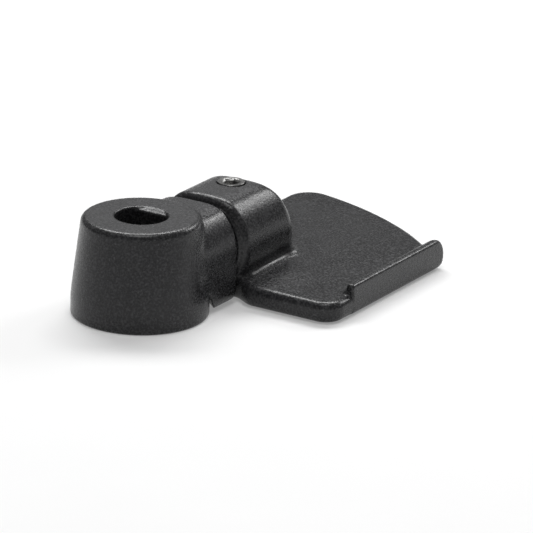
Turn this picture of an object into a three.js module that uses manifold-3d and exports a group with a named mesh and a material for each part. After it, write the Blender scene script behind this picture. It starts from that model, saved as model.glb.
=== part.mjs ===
// Folding kneading blade of a bread maker.
//
// A cast hub drops over the D-shaped drive shaft of the pan. A short drum on the hub's side holds
// a steel pivot shaft, and a cast blade swings on that shaft between lying flat and standing up.
// Millimetres, +Z up along the drive axis, +X along the pivot shaft, away from the hub. The origin
// is the centre of the hub's base. The blade is modelled lying flat.

import * as THREE from 'three';
import { mergeVertices } from 'three/addons/utils/BufferGeometryUtils.js';
import Module from 'manifold-3d';

const wasm = await Module();
wasm.setup();

// ---- driving dimensions ----

const hub = {
  baseR: 12,
  bandTop: 3.8,
  topR: 10.3,
  height: 17.6,
  topEdgeR: 1.0,
  baseEdgeR: 0.5,
};

const drive = {
  boreR: 4.6,
  flatX: 3.2,
  landTop: 17.1,
  chamfer: 0.15,
  recessR: 8.0,
  recessTop: 4.2,
};

const pivot = { y: -3.0, z: 9.35 };

const drum = {
  endX: 13.6,
  sideY: 9.15,
  midY: -1.9,
  crownZ: 9.4,
  flatZ: 17.1,
  bottomZ: 0.15,
  bottomR: 2.2,
  rimR: 0.3,
  boreStartX: 7.2,
  washerSeatX: 12.8,
  washerSeatR: 6.2,
};

const relief = { topZ: 4.2, bottomZ: 1.0, outerR: 12.6 };

const barrel = {
  neckX: 14.2,
  startX: 14.7,
  endX: 30.6,
  r: 9.3,
  flatZ: 17.65,
  neckInset: 0.7,
  rimR: 1.0,
  endR: 2.8,
  crownEndR: 5.5,
  boreEndX: 27.3,
  frontFilletR: 1.1,
  endFilletR: 3.0,
  backFilletR: 1.3,
};

const plate = {
  thickness: 4.0,
  edgeR: 1.5,
  frontX: 12.6,
  backY: 7.1,
  outerY: -31.2,
  outerCornerR: 3.8,
  innerCorner: { fromY: -9.4, controlY: -11.4, toY: -14.4 },
  farArc: { x: 0.65, y: 12.95, r: 63.8, fromY: -26, toDeg: -12.4 },
  backCorner: { x: 57.3, y: 1.6, r: 5.5 },
  farEndX: 50.7,
  farCornerR: 2.0,
};

const lip = {
  startX: 19.3,
  topZ: 5.8,
  topThickness: 1.5,
  bottomR: 1.2,
  innerFilletR: 1.0,
  endTopR: 3.3,
  endBottomR: 2.2,
};

const shaft = {
  r: 3.5,
  startX: 7.5,
  endX: 27.0,
  clearance: 0.12,
  chamfer: 0.4,
  slotFloorR: 2.3,
  slotHalfWidth: 1.4,
};

const screw = {
  x: 23.8,
  r: 2.42,
  clearance: 0.15,
  topZ: 18.0,
  bodyBottomZ: 13.1,
  dogR: 1.2,
  dogTipZ: 11.95,
  hexAcrossFlats: 2.5,
  hexDepth: 2.4,
  chamfer: 0.25,
};

const washer = { startX: 13.1, endX: 14.0, outerR: 5.9, innerR: 3.75 };

const seal = { outerR: 7.7, innerR: 5.6, lipR: 5.2, bottomZ: 1.6, topZ: 3.9 };

const swingDegrees = 90;
const roundSteps = 64;

// ---- solids ----

function toSolid(geometry) {
  const source = geometry.clone();
  source.deleteAttribute('normal');
  source.deleteAttribute('uv');
  const merged = mergeVertices(source, 1e-5);
  const corners = merged.index.array;
  const triangles = [];
  for (let i = 0; i < corners.length; i += 3) {
    const [a, b, c] = [corners[i], corners[i + 1], corners[i + 2]];
    if (a !== b && b !== c && c !== a) triangles.push(a, b, c);
  }
  const positions = merged.attributes.position.array;
  if (signedVolume(positions, triangles) < 0) triangles.reverse();
  return new wasm.Manifold(new wasm.Mesh({
    numProp: 3,
    vertProperties: positions,
    triVerts: new Uint32Array(triangles),
  }));
}

function signedVolume(positions, triangles) {
  const a = new THREE.Vector3();
  const b = new THREE.Vector3();
  const c = new THREE.Vector3();
  let sum = 0;
  for (let i = 0; i < triangles.length; i += 3) {
    a.fromArray(positions, triangles[i] * 3);
    b.fromArray(positions, triangles[i + 1] * 3);
    c.fromArray(positions, triangles[i + 2] * 3);
    sum += a.dot(b.cross(c)) / 6;
  }
  return sum;
}

function toGeometry(solid) {
  const mesh = solid.getMesh();
  const geometry = new THREE.BufferGeometry();
  geometry.setAttribute('position', new THREE.Float32BufferAttribute(mesh.vertProperties, 3));
  geometry.setIndex(Array.from(mesh.triVerts));
  geometry.computeVertexNormals();
  return geometry;
}

// A closed profile of [radius, height] points, turned about +Z.
function turnedZ(profile, steps = roundSteps) {
  const points = profile.map(([r, z]) => new THREE.Vector2(r, z));
  return toSolid(new THREE.LatheGeometry(points, steps).rotateX(Math.PI / 2));
}

// A closed profile of [radius, x] points, turned about the pivot axis.
function turnedX(profile, steps = roundSteps) {
  const points = profile.map(([r, x]) => new THREE.Vector2(r, x));
  const geometry = new THREE.LatheGeometry(points, steps).rotateZ(-Math.PI / 2);
  return toSolid(geometry.translate(0, pivot.y, pivot.z));
}

const alongX = new THREE.Matrix4().makeBasis(
  new THREE.Vector3(0, 1, 0),
  new THREE.Vector3(0, 0, 1),
  new THREE.Vector3(1, 0, 0),
);
const alongMinusY = new THREE.Matrix4().makeBasis(
  new THREE.Vector3(1, 0, 0),
  new THREE.Vector3(0, 0, 1),
  new THREE.Vector3(0, -1, 0),
);

// A (y, z) section pushed along X from x0 to x1, with both rims rounded by rimR.
function prismX(section, x0, x1, rimR = 0, rimSteps = 3) {
  const geometry = new THREE.ExtrudeGeometry(section, {
    depth: x1 - x0 - 2 * rimR,
    bevelEnabled: rimR > 0,
    bevelThickness: rimR,
    bevelSize: rimR,
    bevelOffset: -rimR,
    bevelSegments: rimSteps,
    curveSegments: 16,
  });
  return toSolid(geometry.applyMatrix4(alongX).translate(x0 + rimR, 0, 0));
}

// An (x, z) section pushed along Y from y0 up to y1.
function prismY(section, y0, y1) {
  const geometry = new THREE.ExtrudeGeometry(section, {
    depth: y1 - y0,
    bevelEnabled: false,
    curveSegments: 12,
  });
  return toSolid(geometry.applyMatrix4(alongMinusY).translate(0, y1, 0));
}

function box(x0, x1, y0, y1, z0, z1) {
  const geometry = new THREE.BoxGeometry(x1 - x0, y1 - y0, z1 - z0);
  return toSolid(geometry.translate((x0 + x1) / 2, (y0 + y1) / 2, (z0 + z1) / 2));
}

function arcPoints(cx, cy, r, fromDeg, toDeg, steps) {
  const points = [];
  for (let i = 0; i <= steps; i += 1) {
    const angle = THREE.MathUtils.degToRad(fromDeg + ((toDeg - fromDeg) * i) / steps);
    points.push([cx + r * Math.cos(angle), cy + r * Math.sin(angle)]);
  }
  return points;
}

function shapeOf(points) {
  return new THREE.Shape(points.map(([a, b]) => new THREE.Vector2(a, b)));
}

// ---- hub ----

// Tombstone section: straight sides, round crown with a flat on top, rounded bottom corners.
function drumSection() {
  const { midY, sideY, crownZ, flatZ, bottomZ, bottomR } = drum;
  const flatDeg = THREE.MathUtils.radToDeg(Math.asin((flatZ - crownZ) / sideY));
  return shapeOf([
    ...arcPoints(midY, crownZ, sideY, 0, flatDeg, 8),
    ...arcPoints(midY, crownZ, sideY, 180 - flatDeg, 180, 8),
    ...arcPoints(midY - sideY + bottomR, bottomZ + bottomR, bottomR, 180, 270, 5),
    ...arcPoints(midY + sideY - bottomR, bottomZ + bottomR, bottomR, 270, 360, 5),
  ]);
}

function hubBody() {
  const cone = turnedZ([
    [0, 0],
    ...arcPoints(hub.baseR - hub.baseEdgeR, hub.baseEdgeR, hub.baseEdgeR, 270, 360, 3),
    [hub.baseR, hub.bandTop],
    ...arcPoints(hub.topR - hub.topEdgeR, hub.height - hub.topEdgeR, hub.topEdgeR, 7, 90, 5),
    [0, hub.height],
  ]);
  const undercut = turnedZ([
    [hub.baseR - 1, relief.topZ],
    [hub.baseR - 0.05, relief.topZ],
    [relief.outerR, relief.bottomZ],
    [relief.outerR, -1],
    [hub.baseR - 1, -1],
    [hub.baseR - 1, relief.topZ],
  ]);
  const side = prismX(drumSection(), 0, drum.endX, drum.rimR, 2).subtract(undercut);
  return cone.add(side);
}

// The round hole with its D-shaped land, and the recess for the pan's shaft boss.
function driveOpening() {
  const { boreR, flatX, landTop, chamfer, recessR, recessTop } = drive;
  const round = turnedZ([[0, -1], [boreR, -1], [boreR, landTop + 3], [0, landTop + 3]]);
  const land = box(flatX, boreR + 1, -boreR - 1, boreR + 1, -1, landTop);
  const mouth = turnedZ([
    [0, hub.height - chamfer],
    [boreR, hub.height - chamfer],
    [boreR + chamfer + 0.5, hub.height + 0.5],
    [0, hub.height + 0.5],
  ]);
  const recess = turnedZ([
    [0, -1],
    [recessR, -1],
    [recessR, recessTop - 0.5],
    [recessR - 0.5, recessTop],
    [0, recessTop],
  ]);
  return round.subtract(land).add(mouth).add(recess);
}

function makeHub() {
  const shaftBore = turnedX([
    [0, drum.boreStartX],
    [shaft.r + shaft.clearance, drum.boreStartX],
    [shaft.r + shaft.clearance, drum.endX + 1],
    [0, drum.endX + 1],
  ]);
  const washerSeat = turnedX([
    [0, drum.washerSeatX],
    [drum.washerSeatR, drum.washerSeatX],
    [drum.washerSeatR, drum.endX + 1],
    [0, drum.endX + 1],
  ]);
  return hubBody().subtract(driveOpening()).subtract(shaftBore).subtract(washerSeat);
}

// ---- blade ----

// The barrel's section: a circle about the pivot with a flat on top, made smaller by inset.
function barrelSection(inset = 0) {
  const r = barrel.r - inset;
  const flatDeg = THREE.MathUtils.radToDeg(Math.asin((barrel.flatZ - inset - pivot.z) / r));
  return shapeOf(arcPoints(pivot.y, pivot.z, r, 180 - flatDeg, 360 + flatDeg, 52));
}

// Plan outline of the plate, counter-clockwise from the barrel's face at the back.
function plateOutline() {
  const { frontX, backY, outerY, outerCornerR, innerCorner } = plate;
  const { farArc, backCorner, farEndX, farCornerR } = plate;
  const { fromY, controlY, toY } = innerCorner;
  const arcStartDeg = THREE.MathUtils.radToDeg(Math.asin((farArc.fromY - farArc.y) / farArc.r));
  const shape = new THREE.Shape();
  shape.moveTo(barrel.startX, backY);
  shape.lineTo(barrel.startX, fromY);
  shape.bezierCurveTo(barrel.startX, controlY, frontX, controlY, frontX, toY);
  shape.lineTo(frontX, outerY + outerCornerR);
  shape.absarc(frontX + outerCornerR, outerY + outerCornerR, outerCornerR, Math.PI, 1.5 * Math.PI);
  shape.lineTo(farEndX - farCornerR, outerY);
  shape.absarc(farEndX - farCornerR, outerY + farCornerR, farCornerR, -Math.PI / 2, 0);
  for (const [x, y] of arcPoints(farArc.x, farArc.y, farArc.r, arcStartDeg, farArc.toDeg, 24)) {
    shape.lineTo(x, y);
  }
  for (const [x, y] of arcPoints(backCorner.x, backCorner.y, backCorner.r, -5, 90, 10)) {
    shape.lineTo(x, y);
  }
  return shape;
}

function plateBody() {
  const { thickness, edgeR } = plate;
  const geometry = new THREE.ExtrudeGeometry(plateOutline(), {
    depth: thickness - 2 * edgeR,
    bevelEnabled: true,
    bevelThickness: edgeR,
    bevelSize: edgeR,
    bevelOffset: -edgeR,
    bevelSegments: 4,
    curveSegments: 8,
  });
  return toSolid(geometry.translate(0, 0, edgeR));
}

// The upturned lip: a thin wall along X with a hollow curve on its inner side.
function lipBody() {
  const { startX, topZ, topThickness, bottomR, innerFilletR, endTopR, endBottomR } = lip;
  const { outerY, thickness, farEndX } = plate;
  const topR = topThickness / 2;
  const innerY = outerY + topThickness;
  const section = shapeOf([
    ...arcPoints(outerY + bottomR, bottomR, bottomR, 180, 270, 4),
    [innerY + innerFilletR, 0],
    ...arcPoints(innerY + innerFilletR, thickness + innerFilletR, innerFilletR, 270, 185, 5),
    ...arcPoints(outerY + topR, topZ - topR, topR, 0, 180, 6),
  ]);
  const sideProfile = shapeOf([
    [startX, -1],
    [farEndX - endBottomR, -1],
    ...arcPoints(farEndX - endBottomR, endBottomR, endBottomR, 270, 360, 4),
    ...arcPoints(farEndX - endTopR, topZ - endTopR, endTopR, 0, 90, 6),
    [startX, topZ],
  ]);
  const wall = prismX(section, startX, farEndX);
  return wall.intersect(prismY(sideProfile, outerY - 1, outerY + 8));
}

// Round barrel with a flat along its top; both ends of the round and of the flat are rounded.
function barrelBody() {
  const { startX, endX, r, flatZ, rimR, endR, crownEndR } = barrel;
  const round = turnedX([
    [0, startX],
    ...arcPoints(startX + rimR, r - rimR, rimR, 180, 90, 3).map(([x, radius]) => [radius, x]),
    ...arcPoints(endX - endR, r - endR, endR, 90, 0, 6).map(([x, radius]) => [radius, x]),
    [0, endX],
  ]);
  const crown = shapeOf([
    [startX - 1, -1],
    [endX + 1, -1],
    [endX + 1, pivot.z],
    [endX, pivot.z],
    ...arcPoints(endX - crownEndR, flatZ - crownEndR, crownEndR, 0, 90, 10),
    ...arcPoints(startX + rimR, flatZ - rimR, rimR, 90, 180, 3),
    [startX, pivot.z],
    [startX - 1, pivot.z],
  ]);
  return round.intersect(prismY(crown, pivot.y - r - 1, pivot.y + r + 1));
}

// Joins a row of closed sections with the same number of [x, y, z] points into one solid.
function loft(sections) {
  const count = sections[0].length;
  const positions = sections.flat(2);
  const index = [];
  for (let row = 0; row < sections.length - 1; row += 1) {
    for (let i = 0; i < count; i += 1) {
      const a = row * count + i;
      const b = row * count + ((i + 1) % count);
      index.push(a, b, b + count, a, b + count, a + count);
    }
  }
  const last = (sections.length - 1) * count;
  for (let i = 1; i < count - 1; i += 1) {
    index.push(0, i + 1, i, last, last + i, last + i + 1);
  }
  const geometry = new THREE.BufferGeometry();
  geometry.setAttribute('position', new THREE.Float32BufferAttribute(positions, 3));
  geometry.setIndex(index);
  return toSolid(geometry);
}

// The hollow curve that carries the barrel's front, end and back down to the plate's top.
function barrelFillet() {
  const { startX, endX, r, endR, frontFilletR, endFilletR, backFilletR } = barrel;
  const top = plate.thickness;
  const coreX = endX - endR;
  const coreHalf = r - endR;
  const side = (filletR) => {
    const rise = pivot.z - top - filletR;
    const reach = Math.sqrt((r + filletR) ** 2 - rise ** 2);
    return { filletR, reach: reach - coreHalf, lean: THREE.MathUtils.radToDeg(Math.atan2(rise, reach)) };
  };
  const section = (x, y, outwardDeg, edge) => {
    const blend = Math.cos(THREE.MathUtils.degToRad(outwardDeg)) ** 2;
    const mix = (onSide, onEnd) => onSide + (onEnd - onSide) * blend;
    const filletR = mix(edge.filletR, endFilletR);
    const lean = mix(edge.lean, 0);
    const along = Math.cos(THREE.MathUtils.degToRad(outwardDeg));
    const across = Math.sin(THREE.MathUtils.degToRad(outwardDeg));
    const centreX = x + (endR + endFilletR) * along;
    const centreY = y + edge.reach * across;
    const curve = arcPoints(0, top + filletR, filletR, 270, 180 - lean, 7);
    const contactZ = curve[curve.length - 1][1];
    return [
      [x, y, top - 0.6],
      [centreX, centreY, top - 0.6],
      ...curve.map(([out, z]) => [centreX + out * along, centreY + out * across, z]),
      [x, y, contactZ],
    ];
  };
  const front = side(frontFilletR);
  const back = side(backFilletR);
  const sections = [section(startX, pivot.y - coreHalf, -90, front)];
  for (let deg = -90; deg <= 0; deg += 15) {
    sections.push(section(coreX, pivot.y - coreHalf, deg, front));
  }
  for (let deg = 0; deg <= 90; deg += 15) {
    sections.push(section(coreX, pivot.y + coreHalf, deg, back));
  }
  sections.push(section(startX, pivot.y + coreHalf, 90, back));
  return loft(sections);
}

function makeBlade() {
  const { neckX, startX, neckInset, boreEndX, flatZ } = barrel;
  const neck = prismX(barrelSection(neckInset), neckX, startX + 2);
  const shaftBore = turnedX([
    [0, neckX - 1],
    [shaft.r + shaft.clearance, neckX - 1],
    [shaft.r + shaft.clearance, boreEndX],
    [0, boreEndX],
  ]);
  const screwHole = turnedZ([
    [0, pivot.z],
    [screw.r + screw.clearance, pivot.z],
    [screw.r + screw.clearance, flatZ + 1],
    [0, flatZ + 1],
  ], 32).translate(screw.x, pivot.y, 0);
  return barrelBody()
    .add(neck)
    .add(plateBody())
    .add(lipBody())
    .add(barrelFillet())
    .subtract(shaftBore)
    .subtract(screwHole);
}

// ---- pivot hardware ----

// The stop slot: a part-round groove in which the screw's dog point runs as the blade swings.
function stopSlot() {
  const { slotFloorR, slotHalfWidth } = shaft;
  const outer = shaft.r + 1;
  const x0 = screw.x - slotHalfWidth;
  const x1 = screw.x + slotHalfWidth;
  const ring = turnedX([
    [slotFloorR, x0],
    [outer, x0],
    [outer, x1],
    [slotFloorR, x1],
    [slotFloorR, x0],
  ]);
  const dogDeg = THREE.MathUtils.radToDeg(Math.asin((screw.dogR + 0.25) / slotFloorR));
  const sector = shapeOf([
    [pivot.y, pivot.z],
    ...arcPoints(pivot.y, pivot.z, 3 * outer, 90 - swingDegrees - dogDeg, 90 + dogDeg, 12),
  ]);
  return ring.intersect(prismX(sector, x0 - 1, x1 + 1));
}

function makePivotShaft() {
  const { r, startX, endX, chamfer } = shaft;
  const rod = turnedX([
    [0, startX],
    [r - chamfer, startX],
    [r, startX + chamfer],
    [r, endX - chamfer],
    [r - chamfer, endX],
    [0, endX],
  ]);
  return rod.subtract(stopSlot());
}

function makeGrubScrew() {
  const { r, topZ, bodyBottomZ, dogR, dogTipZ, hexAcrossFlats, hexDepth, chamfer } = screw;
  const body = turnedZ([
    [0, dogTipZ],
    [dogR - chamfer / 2, dogTipZ],
    [dogR, dogTipZ + chamfer / 2],
    [dogR, bodyBottomZ],
    [r - chamfer, bodyBottomZ],
    [r, bodyBottomZ + chamfer],
    [r, topZ - chamfer],
    [r - chamfer, topZ],
    [0, topZ],
  ], 32);
  const hexR = hexAcrossFlats / Math.sqrt(3);
  const socket = turnedZ([
    [0, topZ - hexDepth],
    [hexR, topZ - hexDepth],
    [hexR, topZ + 1],
    [0, topZ + 1],
  ], 6);
  return body.subtract(socket).translate(screw.x, pivot.y, 0);
}

function makeThrustWasher() {
  const { startX, endX, outerR, innerR } = washer;
  return turnedX([
    [innerR, startX],
    [outerR, startX],
    [outerR, endX],
    [innerR, endX],
    [innerR, startX],
  ]);
}

// Soft ring in the hub's recess, with a thin lip that wipes the pan's shaft boss.
function makeBaseSeal() {
  const { outerR, innerR, lipR, bottomZ, topZ } = seal;
  return turnedZ([
    [innerR, topZ],
    [outerR, topZ],
    [outerR, bottomZ + 0.4],
    [outerR - 0.4, bottomZ],
    [innerR, bottomZ],
    [lipR, bottomZ + 0.3],
    [lipR, bottomZ + 0.7],
    [innerR, bottomZ + 1.1],
    [innerR, topZ],
  ]);
}

// ---- assembly ----

const coating = { color: 0x2b2b2d, roughness: 0.55, metalness: 0.1 };
const steel = { color: 0x9a9a98, roughness: 0.3, metalness: 1.0 };
const whitePlastic = { color: 0xd8d6cf, roughness: 0.6, metalness: 0.0 };
const silicone = { color: 0x7d2f26, roughness: 0.7, metalness: 0.0 };

const part = new THREE.Group();

function addPart(name, solid, finish) {
  const mesh = new THREE.Mesh(toGeometry(solid), new THREE.MeshStandardMaterial(finish));
  mesh.name = name;
  part.add(mesh);
}

addPart('hub', makeHub(), coating);
addPart('base_seal', makeBaseSeal(), silicone);
addPart('pivot_shaft', makePivotShaft(), steel);
addPart('thrust_washer', makeThrustWasher(), whitePlastic);
addPart('blade', makeBlade(), coating);
addPart('grub_screw', makeGrubScrew(), steel);

export default part;
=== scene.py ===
"""Looks of the folding kneading blade: coated castings, steel screw and shaft, on a pale floor."""

import math

import bmesh
import bpy
import numpy as np
from mathutils import Matrix


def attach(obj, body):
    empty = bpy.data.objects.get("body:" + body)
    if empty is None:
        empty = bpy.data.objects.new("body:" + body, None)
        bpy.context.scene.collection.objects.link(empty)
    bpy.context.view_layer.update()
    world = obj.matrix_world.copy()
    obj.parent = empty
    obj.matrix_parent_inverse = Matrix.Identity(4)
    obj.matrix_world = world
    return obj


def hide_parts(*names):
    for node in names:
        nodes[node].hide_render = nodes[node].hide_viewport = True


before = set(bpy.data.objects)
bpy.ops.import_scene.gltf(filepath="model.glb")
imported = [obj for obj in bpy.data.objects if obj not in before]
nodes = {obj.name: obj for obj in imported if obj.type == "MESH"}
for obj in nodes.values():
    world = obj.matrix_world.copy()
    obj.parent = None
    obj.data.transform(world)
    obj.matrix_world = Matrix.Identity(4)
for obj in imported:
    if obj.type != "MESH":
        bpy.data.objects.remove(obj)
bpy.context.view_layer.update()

MM = 0.001

# ---- sizes in millimetres: +Z up the drive axis, +X along the pivot, the blade toward -Y ----

GRID_STEP = 0.25

PIVOT_Y = -3.0
PIVOT_Z = 9.35
SHAFT_BORE_R = 3.62
SHAFT_BORE_X = (7.2, 27.3)

HUB_R = 12.0
HUB_TOP = 17.6
HUB_RIM_R = 1.0
HUB_FOOT_R = 0.5
BAND_TOP = 3.8
CONE_SLOPE = 0.1232

DRUM_Y = -1.9
DRUM_R = 9.15
DRUM_CROWN_Z = 9.4
DRUM_TOP = 17.12
DRUM_LOW = 0.15
DRUM_END_X = 13.6
RELIEF_TOP = 4.2
RELIEF_SLOPE = 0.19

DRIVE_HOLE_R = 4.6
DRIVE_FLAT_X = 3.2
LAND_TOP = 17.55
LAND_SLOPE = 0.28
RECESS_R = 8.0
RECESS_TOP = 4.2
WASHER_SEAT_R = 6.2
WASHER_SEAT_X = 12.8

PLATE_FRONT_X = 12.6
FRONT_STEP = 2.1
OUTER_Y = -31.2
BACK_Y = 7.0
FAR_ARC_X = 1.25
FAR_ARC_Y = 13.35
FAR_ARC_R = 63.8
FAR_END_X = 50.7
PLATE_THICKNESS = 3.85
PLATE_CROWN = 0.65

BARREL_R = 9.35
BARREL_X = (14.45, 31.3)
BARREL_TOP = 17.92
BARREL_END_LEAN = 0.19
NECK_X = (14.2, 17.0)
NECK_R = 8.05
NECK_TOP = 16.4

LIP_X = (19.3, 50.75)
LIP_TOP = 6.0
LIP_HALF_THICKNESS = 0.75

SCREW_X = 23.8
SCREW_R = 2.42
SCREW_HOLE_R = 2.57
SCREW_TOP = 17.92
SCREW_LOW = 13.1
PITCH = 0.8
THREAD_DEPTH = 0.42
DOG_R = 1.2
DOG_TIP = 11.95
SOCKET_FLATS = 2.45
CLOSED = 0.0001


# ---- distance functions: negative inside ----


def ramp(value, low, high):
    """0 below low, 1 above high and smooth between them."""
    t = np.clip((value - low) / (high - low), 0, 1)
    return t * t * (3 - 2 * t)


def meet(a, b, r):
    """Inside both, with the edge between them rounded to radius r."""
    past_a = a + r
    past_b = b + r
    corner = np.hypot(np.maximum(past_a, 0), np.maximum(past_b, 0))
    return np.minimum(np.maximum(past_a, past_b), 0) + corner - r


def join(a, b, r):
    """Inside either, with a hollow fillet of radius r between them."""
    return -meet(-a, -b, r)


def soft_max(a, b, width):
    """Inside both, with a slight blend where the two are within width of each other."""
    overlap = np.maximum(width - np.abs(a - b), 0) / width
    return np.maximum(a, b) + overlap * overlap * width / 4


def from_pivot(y, z):
    return np.hypot(y - PIVOT_Y, z - PIVOT_Z)


def cone_shape(x, y, z):
    """The hub's body: a cone above a straight band, with a soft change between them."""
    above = z - BAND_TOP
    taper = 0.5 * (above + np.sqrt(above * above + 1.0))
    cone = (np.hypot(x, y) - HUB_R + CONE_SLOPE * taper) / math.hypot(1, CONE_SLOPE)
    return meet(meet(cone, z - HUB_TOP, HUB_RIM_R), -z, HUB_FOOT_R)


def drum_shape(x, y, z):
    """Straight sides under a round crown with a flat on it, cut back around the hub's foot."""
    side = np.hypot(y - DRUM_Y, np.maximum(z - DRUM_CROWN_Z, 0)) - DRUM_R
    drum = meet(side, z - DRUM_TOP, 1.3)
    drum = meet(drum, DRUM_LOW - z, 2.2)
    drum = meet(drum, x - DRUM_END_X, 0.4)
    drum = np.maximum(drum, -x)
    foot = np.hypot(x, y) - HUB_R - RELIEF_SLOPE * (RELIEF_TOP - z)
    relief = np.maximum(foot, z - RELIEF_TOP)
    return meet(drum, -relief, 0.2)


def drive_hole(x, y, z):
    """A round hole with one flat side, which ends in a sloping land below the hub's top."""
    round_hole = np.hypot(x, y) - DRIVE_HOLE_R
    land = LAND_TOP + LAND_SLOPE * (x - DRIVE_HOLE_R)
    return join(np.maximum(round_hole, x - DRIVE_FLAT_X), np.maximum(round_hole, land - z), 0.12)


def hub_shape(x, y, z):
    crease = 0.12 + 0.2 * ramp(z, 3.5, 7.5)
    solid = join(cone_shape(x, y, z), drum_shape(x, y, z), crease)
    solid = meet(solid, -drive_hole(x, y, z), 0.3)
    recess = meet(np.hypot(x, y) - RECESS_R, z - RECESS_TOP, 0.5)
    solid = meet(solid, -recess, 0.3)
    bore = np.maximum(from_pivot(y, z) - SHAFT_BORE_R, SHAFT_BORE_X[0] - x)
    seat = np.maximum(from_pivot(y, z) - WASHER_SEAT_R, WASHER_SEAT_X - x)
    solid = meet(solid, -bore, 0.2)
    return meet(solid, -seat, 0.2)


def plate_outline(x, y):
    """Straight front, outer and back edges and a far edge that sweeps round the drive axis."""
    front = PLATE_FRONT_X + FRONT_STEP * ramp(y, -14.4, -9.4) - x
    arc = np.hypot(x - FAR_ARC_X, y - FAR_ARC_Y) - FAR_ARC_R
    far = join(arc, np.maximum(x - FAR_END_X, y + 27.6), 1.2)
    return meet(meet(front, OUTER_Y - y, 3.8), meet(far, y - BACK_Y, 5.5), 2.0)


def plate_shape(x, y, z):
    """The flat of the blade; its top rises a little beside and behind the barrel."""
    rise = ramp(x, 12.0, 24.0) * (1 - ramp(x, 38.0, 58.0)) * ramp(y, -27.0, -14.0)
    top = PLATE_THICKNESS + PLATE_CROWN * rise
    return meet(meet(plate_outline(x, y), z - top, 1.3), -z, 1.65)


def barrel_shape(x, y, z):
    """A lying tube with a flat on top, a leaning far end and a thinner neck toward the drum."""
    start_x, end_x = BARREL_X
    tube = from_pivot(y, z) - BARREL_R
    end = (x - end_x) * math.cos(BARREL_END_LEAN) + (z - PIVOT_Z) * math.sin(BARREL_END_LEAN)
    solid = soft_max(meet(tube, end, 2.8), meet(z - BARREL_TOP, end, 4.6), 1.4)
    solid = meet(solid, start_x - x, 1.45)
    neck = soft_max(from_pivot(y, z) - NECK_R, z - NECK_TOP, 1.0)
    neck = meet(np.maximum(neck, x - NECK_X[1]), NECK_X[0] - x, 0.08)
    return join(solid, neck, 0.05)


def lip_shape(x, y, z):
    """The upturned wall along the outer edge, with a round crest and rounded ends."""
    start_x, end_x = LIP_X
    middle_y = OUTER_Y + LIP_HALF_THICKNESS
    crest = meet(np.abs(y - middle_y) - LIP_HALF_THICKNESS, z - LIP_TOP, 0.74)
    foot = meet(OUTER_Y - y, -z, 1.2)
    wall = meet(np.maximum(crest, foot), start_x - x, 0.45)
    top_end = meet(x - end_x, z - LIP_TOP, 3.4)
    low_end = meet(x - end_x, -z, 2.3)
    return soft_max(wall, np.maximum(top_end, low_end), 0.8)


def blade_shape(x, y, z):
    off_bottom = ramp(z, 0.3, 1.8)
    fillet = (1.9 + 1.1 * ramp(x, 27.0, 32.0)) * (0.4 + 0.6 * ramp(x, 14.3, 17.3))
    solid = join(plate_shape(x, y, z), barrel_shape(x, y, z), 0.05 + fillet * off_bottom)
    inner_side = ramp(y, -30.9, -29.7) * (1 - ramp(x, 48.6, 50.6))
    hollow = (0.6 + 1.7 * ramp(x, 18.6, 21.0)) * inner_side
    solid = join(solid, lip_shape(x, y, z), 0.05 + hollow * off_bottom)
    bore = np.maximum(from_pivot(y, z) - SHAFT_BORE_R, x - SHAFT_BORE_X[1])
    screw_hole = np.maximum(np.hypot(x - SCREW_X, y - PIVOT_Y) - SCREW_HOLE_R, PIVOT_Z - z)
    solid = meet(solid, -bore, 0.25)
    return meet(solid, -screw_hole, 0.22)


# ---- meshes ----


def solid_mesh(name, points, faces):
    mesh = bpy.data.meshes.new(name)
    mesh.from_pydata((np.asarray(points) * MM).tolist(), [], [list(map(int, f)) for f in faces])
    mesh.update()
    mesh.shade_smooth()
    piece = bpy.data.objects.new(name, mesh)
    bpy.context.scene.collection.objects.link(piece)
    return piece


def mark_sharp(piece, degrees):
    """Smooth shading with hard edges where two faces meet at more than this angle."""
    piece.data.set_sharp_from_angle(angle=math.radians(degrees))


def slope_of(shape, p, h=0.02):
    grads = []
    for axis in range(3):
        step = np.zeros(3)
        step[axis] = h
        ahead = shape(*(p + step).T)
        behind = shape(*(p - step).T)
        grads.append((ahead - behind) / (2 * h))
    return np.stack(grads, 1)


def onto(shape, p, rounds, limit):
    """Moves points onto the surface along its slope, no further than limit in one round."""
    for _ in range(rounds):
        d = shape(*p.T)
        g = slope_of(shape, p)
        move = d / np.maximum((g * g).sum(1), 0.2)
        p = p - g * np.clip(move, -limit, limit)[:, None]
    return p


def mixed_cells(inside):
    """True for each cell of eight grid points that has points on both sides of the surface."""
    count = np.zeros([n - 1 for n in inside.shape], np.int8)
    nx, ny, nz = count.shape
    for i in (0, 1):
        for j in (0, 1):
            for k in (0, 1):
                count += inside[i : nx + i, j : ny + j, k : nz + k]
    return (count > 0) & (count < 8)


def crossing_faces(inside, number):
    """One four-sided face round every grid edge that crosses the surface."""
    faces = []
    for a in range(3):
        b, c = (a + 1) % 3, (a + 2) % 3
        moved = np.moveaxis(inside, (a, b, c), (0, 1, 2))
        cell = np.moveaxis(number, (a, b, c), (0, 1, 2))
        before = moved[:-1, 1:-1, 1:-1]
        after = moved[1:, 1:-1, 1:-1]
        ring = np.stack([cell[:, :-1, :-1], cell[:, 1:, :-1], cell[:, 1:, 1:], cell[:, :-1, 1:]], -1)
        faces.append(ring[before & ~after])
        faces.append(ring[~before & after][:, ::-1])
    return np.concatenate(faces)


def relaxed(shape, points, faces, step, rounds=5):
    """Evens out the points over the surface."""
    count = np.bincount(faces.ravel(), minlength=len(points))
    for _ in range(rounds):
        middle = points[faces].mean(1)
        total = np.zeros_like(points)
        for k in range(4):
            for axis in range(3):
                total[:, axis] += np.bincount(faces[:, k], middle[:, axis], len(points))
        points = onto(shape, 0.4 * points + 0.6 * total / count[:, None], 2, step)
    return points


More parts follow.
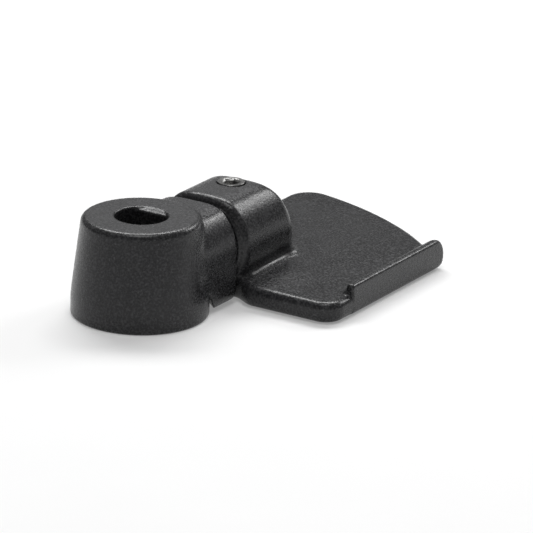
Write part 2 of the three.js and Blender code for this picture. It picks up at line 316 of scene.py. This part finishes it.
def skin(name, shape, low, high, step=GRID_STEP):
    """A closed mesh over shape's surface: one point per mixed cell, drawn onto the surface and relaxed."""
    axes = [np.arange(a - 1.5 * step, b + 2.5 * step, step) for a, b in zip(low, high)]
    inside = shape(*np.meshgrid(*axes, indexing="ij", sparse=True)) < 0
    mixed = mixed_cells(inside)
    number = np.full(mixed.shape, -1)
    number[mixed] = np.arange(mixed.sum())
    cells = np.argwhere(mixed)
    points = np.stack([axes[a][cells[:, a]] + step / 2 for a in range(3)], 1)
    faces = crossing_faces(inside, number)
    points = onto(shape, points, 3, step)
    return solid_mesh(name, relaxed(shape, points, faces, step), faces)


def rings(name, levels, turns=96):
    """Closed mesh about +Z from levels of (height, radius), where a radius may be a function of the angle."""
    angles = 2 * np.pi * np.arange(turns) / turns
    points = []
    for height, radius in levels:
        r = radius(angles) if callable(radius) else np.full(turns, float(radius))
        points.extend(zip(r * np.cos(angles), r * np.sin(angles), np.full(turns, float(height))))
    faces = []
    for start in range(0, (len(levels) - 1) * turns, turns):
        for i in range(turns):
            j = (i + 1) % turns
            faces.append([start + i, start + j, start + turns + j, start + turns + i])
    faces.append(list(range(turns))[::-1])
    last = (len(levels) - 1) * turns
    faces.append([last + i for i in range(turns)])
    return solid_mesh(name, np.array(points), faces)


def hexagon(across_flats):
    def radius(angle):
        return across_flats / 2 / np.cos((angle % (np.pi / 3)) - np.pi / 6)

    return radius


def thread(height):
    """The threaded body's radius round one height, with the thread fading out at both ends."""

    def radius(angle):
        phase = (height / PITCH - angle / (2 * np.pi)) % 1.0
        depth = np.clip(np.abs(2 * phase - 1) * 1.35 - 0.15, 0, 1) * THREAD_DEPTH
        fade_top = np.clip((SCREW_TOP - 0.35 - height) / 0.6, 0, 1)
        fade_low = np.clip((height - SCREW_LOW - 0.25) / 0.5, 0, 1)
        return SCREW_R - depth * fade_top * fade_low

    return radius


def make_screw():
    """Set screw from its tip up: dog point, threaded body, flat top and countersunk hexagon socket."""
    dog = [(0.0, CLOSED), (0.0, 1.0), (0.1, 1.15), (0.25, DOG_R), (SCREW_LOW - DOG_TIP - 0.05, DOG_R)]
    shoulder = [(0.0, 1.25), (0.0, 1.9), (0.05, 2.0), (0.35, 2.38)]
    threaded = np.arange(SCREW_LOW + 0.4, SCREW_TOP - 0.3, 0.08)
    top = [(0.2, SCREW_R), (0.04, SCREW_R), (0.0, 2.38), (0.0, 1.78), (0.03, 1.7)]
    socket = [(0.32, hexagon(2.5)), (0.36, hexagon(SOCKET_FLATS)), (2.0, hexagon(SOCKET_FLATS))]
    drill_point = [(2.05, hexagon(2.4)), (2.1, 1.0), (2.5, CLOSED)]
    levels = [(DOG_TIP + up, radius) for up, radius in dog]
    levels += [(SCREW_LOW + up, radius) for up, radius in shoulder]
    levels += [(height, thread(height)) for height in threaded]
    levels += [(SCREW_TOP - down, radius) for down, radius in top + socket + drill_point]
    screw = rings("grub_screw_visual", levels, 144)
    turned = Matrix.Rotation(0.26, 4, "Z")
    screw.data.transform(Matrix.Translation((SCREW_X * MM, PIVOT_Y * MM, 0)) @ turned)
    screw.data.shade_smooth()
    mark_sharp(screw, 40)
    return screw


def close_ring(piece):
    """Joins the first and last rows of a ring profile, which lie on each other, and drops the end caps."""
    bm = bmesh.new()
    bm.from_mesh(piece.data)
    caps = [f for f in bm.faces if len(f.verts) > 4]
    bmesh.ops.delete(bm, geom=caps, context="FACES_ONLY")
    bmesh.ops.remove_doubles(bm, verts=bm.verts, dist=1e-7)
    bmesh.ops.recalc_face_normals(bm, faces=bm.faces)
    bm.to_mesh(piece.data)
    bm.free()
    piece.data.shade_smooth()


def make_seal():
    """Soft ring with a thin wiping lip inside and two ridges outside that grip the recess."""
    inner_side = [(3.9, 5.6), (3.0, 5.6), (2.75, 5.58), (2.45, 5.42)]
    wiping_lip = [(2.2, 5.22), (1.95, 5.2), (1.75, 5.35), (1.62, 5.8)]
    underside = [(1.6, 6.6), (1.62, 7.2), (1.75, 7.45)]
    low_ridge = [(2.1, 7.66), (2.5, 7.68), (2.8, 7.62), (3.0, 7.5)]
    top_ridge = [(3.2, 7.62), (3.5, 7.68), (3.8, 7.55), (3.9, 7.3)]
    profile = inner_side + wiping_lip + underside + low_ridge + top_ridge
    seal = rings("base_seal_visual", profile + profile[:1])
    close_ring(seal)
    mark_sharp(seal, 50)
    return seal


hub = skin("hub_visual", hub_shape, (-HUB_R, -HUB_R, 0), (DRUM_END_X, HUB_R, HUB_TOP))
blade = skin("blade_visual", blade_shape, (PLATE_FRONT_X, OUTER_Y, 0), (65.2, 8.5, 17.8))
screw = make_screw()
seal = make_seal()

for piece, node, body in (
    (hub, "hub", "hub_body"),
    (seal, "base_seal", "hub_body"),
    (blade, "blade", "blade_body"),
    (screw, "grub_screw", "blade_body"),
):
    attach(piece, body)
    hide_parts(node)

# ---- materials ----


class Graph:
    """Short calls for building a node material."""

    def __init__(self, name):
        self.material = bpy.data.materials.new(name)
        self.material.use_nodes = True
        self.tree = self.material.node_tree
        self.shader = self.tree.nodes["Principled BSDF"]
        coords = self.tree.nodes.new("ShaderNodeTexCoord")
        self.place = coords.outputs["Object"]
        self.facing = coords.outputs["Normal"]

    def noise(self, scale, detail=3.0, roughness=0.5, stretch=None):
        node = self.tree.nodes.new("ShaderNodeTexNoise")
        node.inputs["Scale"].default_value = scale
        node.inputs["Detail"].default_value = detail
        node.inputs["Roughness"].default_value = roughness
        place = self.place
        if stretch:
            mapping = self.tree.nodes.new("ShaderNodeMapping")
            mapping.inputs["Scale"].default_value = stretch
            self.tree.links.new(place, mapping.inputs["Vector"])
            place = mapping.outputs["Vector"]
        self.tree.links.new(place, node.inputs["Vector"])
        return node.outputs["Fac"]

    def specks(self, scale, size, soft):
        """1 in scattered dots, 0 between them."""
        node = self.tree.nodes.new("ShaderNodeTexVoronoi")
        node.inputs["Scale"].default_value = scale
        self.tree.links.new(self.place, node.inputs["Vector"])
        return self.span(node.outputs["Distance"], size, size - soft, 0.0, 1.0)

    def span(self, value, low, high, out_low, out_high):
        node = self.tree.nodes.new("ShaderNodeMapRange")
        node.inputs["From Min"].default_value = low
        node.inputs["From Max"].default_value = high
        node.inputs["To Min"].default_value = out_low
        node.inputs["To Max"].default_value = out_high
        self.tree.links.new(value, node.inputs["Value"])
        return node.outputs["Result"]

    def upward(self, vector):
        """The Z part of a vector."""
        node = self.tree.nodes.new("ShaderNodeSeparateXYZ")
        self.tree.links.new(vector, node.inputs["Vector"])
        return node.outputs["Z"]

    def math(self, operation, a, b):
        node = self.tree.nodes.new("ShaderNodeMath")
        node.operation = operation
        self.tree.links.new(a, node.inputs[0])
        self.tree.links.new(b, node.inputs[1])
        return node.outputs["Value"]

    def mix(self, factor, a, b):
        node = self.tree.nodes.new("ShaderNodeMix")
        node.data_type = "RGBA"
        self.tree.links.new(factor, node.inputs["Factor"])
        for socket, value in ((node.inputs["A"], a), (node.inputs["B"], b)):
            if isinstance(value, tuple):
                socket.default_value = value + (1.0,)
            else:
                self.tree.links.new(value, socket)
        return node.outputs["Result"]

    def bump(self, height, strength, distance, normal=None):
        node = self.tree.nodes.new("ShaderNodeBump")
        node.inputs["Strength"].default_value = strength
        node.inputs["Distance"].default_value = distance
        self.tree.links.new(height, node.inputs["Height"])
        if normal is not None:
            self.tree.links.new(normal, node.inputs["Normal"])
        return node.outputs["Normal"]

    def feed(self, name, value):
        socket = self.shader.inputs[name]
        if isinstance(value, tuple):
            socket.default_value = value + (1.0,)
        elif isinstance(value, float):
            socket.default_value = value
        else:
            self.tree.links.new(value, socket)


def coating_material():
    """Sprayed black non-stick coating: fine grain, scattered pale specks, and a painted sheen that makes the
    high upward-facing flats paler.
    """
    g = Graph("coated_casting")
    grain = g.noise(2700, 3.0)
    blotch = g.noise(160, 4.0)
    color = g.mix(g.span(blotch, 0.35, 0.65, 0, 1), (0.0145, 0.0145, 0.0155), (0.0195, 0.0195, 0.0205))
    # painted sheen: flats that face up and stand high are mixed toward a paler grey, standing in for the
    # light they catch
    high = g.span(g.upward(g.place), 0.009, 0.015, 0, 1)
    flat = g.span(g.upward(g.facing), 0.9, 0.985, 0, 1)
    color = g.mix(g.math("MULTIPLY", high, flat), color, (0.050, 0.050, 0.0515))
    color = g.mix(g.span(grain, 0.48, 0.75, 0, 0.8), color, (0.075, 0.075, 0.078))
    patches = g.span(g.noise(900, 1.0), 0.5, 0.62, 0, 0.5)
    color = g.mix(g.math("MULTIPLY", g.specks(1500, 0.3, 0.1), patches), color, (0.09, 0.09, 0.093))
    g.feed("Base Color", color)
    broad = g.span(blotch, 0.3, 0.7, 0.25, 0.30)
    g.feed("Roughness", g.math("ADD", broad, g.span(grain, 0.3, 0.7, -0.09, 0.11)))
    g.feed("Specular IOR Level", 0.30)
    peel = g.bump(g.noise(1300, 2.0), 0.5, 0.00004)
    g.feed("Normal", g.bump(grain, 0.6, 0.00007, peel))
    return g.material


def steel_material():
    g = Graph("stainless")
    scratch = g.noise(5200, 4.0, 0.6, (1.0, 1.0, 0.15))
    stain = g.noise(700, 3.0)
    g.feed("Base Color", g.mix(stain, (0.16, 0.16, 0.16), (0.26, 0.258, 0.25)))
    g.feed("Metallic", 1.0)
    g.feed("Roughness", g.span(scratch, 0.3, 0.7, 0.24, 0.42))
    g.feed("Normal", g.bump(scratch, 0.4, 0.000012))
    return g.material


def washer_material():
    g = Graph("ptfe")
    cloud = g.noise(500, 4.0)
    g.feed("Base Color", g.mix(cloud, (0.66, 0.65, 0.61), (0.8, 0.79, 0.76)))
    g.feed("Roughness", g.span(cloud, 0.3, 0.7, 0.5, 0.65))
    g.feed("Normal", g.bump(g.noise(2600, 2.0), 0.3, 0.00001))
    return g.material


def silicone_material():
    g = Graph("silicone")
    cloud = g.noise(400, 4.0)
    g.feed("Base Color", g.mix(cloud, (0.26, 0.05, 0.035), (0.34, 0.075, 0.055)))
    g.feed("Roughness", g.span(cloud, 0.3, 0.7, 0.5, 0.7))
    g.feed("Normal", g.bump(g.noise(3000, 3.0), 0.3, 0.000015))
    return g.material


def paper_material():
    g = Graph("paper")
    g.feed("Base Color", g.mix(g.noise(40, 3.0), (0.60, 0.60, 0.60), (0.62, 0.62, 0.62)))
    g.feed("Emission Color", (1.0, 1.0, 1.0))
    g.feed("Emission Strength", 0.24)
    g.feed("Roughness", 0.8)
    return g.material


def paint(piece, material):
    piece.data.materials.clear()
    piece.data.materials.append(material)


coating = coating_material()
steel = steel_material()

paint(hub, coating)
paint(blade, coating)
paint(screw, steel)
paint(nodes["pivot_shaft"], steel)
paint(nodes["thrust_washer"], washer_material())
paint(seal, silicone_material())

for name in ("pivot_shaft", "thrust_washer"):
    nodes[name].data.shade_smooth()
    mark_sharp(nodes[name], 30)

# ---- floor, light and camera, in metres ----

FLOOR_HALF_SIZE = 3.0
FLOOR_DROP = 0.00001
LIGHT_AIM = (0.02, -0.01, 0.0)
CAMERA_EYE = (-0.62698, -0.41276, 0.27664)
CAMERA_LENS_MM = 313.35
BRIGHT_SKY = (0.80, 0.50, 0.33)


def studio_floor():
    size = FLOOR_HALF_SIZE
    corners = [(-size, -size, 0), (size, -size, 0), (size, size, 0), (-size, size, 0)]
    mesh = bpy.data.meshes.new("floor")
    mesh.from_pydata(corners, [], [(0, 1, 2, 3)])
    floor = bpy.data.objects.new("floor", mesh)
    bpy.context.scene.collection.objects.link(floor)
    floor.location.z = -FLOOR_DROP
    floor.data.materials.append(paper_material())


def place_axes(piece, right, up, back, place):
    rows = [[right[i], up[i], back[i], place[i]] for i in range(3)]
    piece.matrix_world = Matrix(rows + [[0, 0, 0, 1]])


def softbox(name, place, width, height, watts):
    light = bpy.data.lights.new(name, "AREA")
    light.shape = "RECTANGLE"
    light.size = width
    light.size_y = height
    light.energy = watts
    lamp = bpy.data.objects.new(name, light)
    bpy.context.scene.collection.objects.link(lamp)
    back = np.array(place) - np.array(LIGHT_AIM)
    back /= np.linalg.norm(back)
    right = np.cross((0, 0, 1), back)
    right /= np.linalg.norm(right)
    place_axes(lamp, right, np.cross(back, right), back, place)


def camera():
    """The photograph's view: eye and heading in the part's frame, with a slight roll."""
    heading = math.radians(58.293)
    tilt = math.radians(19.638)
    roll = math.radians(1.465)
    ahead = math.cos(tilt)
    forward = np.array([math.sin(heading) * ahead, math.cos(heading) * ahead, -math.sin(tilt)])
    level = np.array([math.cos(heading), -math.sin(heading), 0.0])
    upright = np.cross(level, forward)
    right = math.cos(roll) * level + math.sin(roll) * upright
    up = math.cos(roll) * upright - math.sin(roll) * level
    data = bpy.data.cameras.new("camera")
    data.lens = CAMERA_LENS_MM
    data.sensor_width = 36.0
    data.clip_start = 0.01
    lens = bpy.data.objects.new("camera", data)
    bpy.context.scene.collection.objects.link(lens)
    place_axes(lens, right, up, -forward, CAMERA_EYE)
    bpy.context.scene.camera = lens


def sky():
    """Even studio surround, a little brighter toward one side, behind the object."""
    world = bpy.data.worlds.new("surround")
    bpy.context.scene.world = world
    world.use_nodes = True
    tree = world.node_tree
    background = tree.nodes["Background"]
    coords = tree.nodes.new("ShaderNodeTexCoord")
    dot = tree.nodes.new("ShaderNodeVectorMath")
    dot.operation = "DOT_PRODUCT"
    dot.inputs[1].default_value = BRIGHT_SKY
    tree.links.new(coords.outputs["Generated"], dot.inputs[0])
    span = tree.nodes.new("ShaderNodeMapRange")
    span.inputs["From Min"].default_value = -0.4
    span.inputs["From Max"].default_value = 0.9
    span.inputs["To Min"].default_value = 0.18
    span.inputs["To Max"].default_value = 0.22
    span.interpolation_type = "SMOOTHSTEP"
    tree.links.new(dot.outputs["Value"], span.inputs["Value"])
    tree.links.new(span.outputs["Result"], background.inputs["Strength"])
    background.inputs["Color"].default_value = (1.0, 1.0, 1.0, 1.0)


studio_floor()
softbox("behind", (0.475, 0.315, 0.822), 0.75, 0.30, 8.5)
softbox("overhead", (-0.12, -0.08, 0.80), 0.3, 0.25, 2.0)
softbox("window", (0.80, -0.24, 0.52), 0.34, 0.22, 2.5)
sky()
camera()
bpy.context.scene.view_settings.view_transform = "Standard"
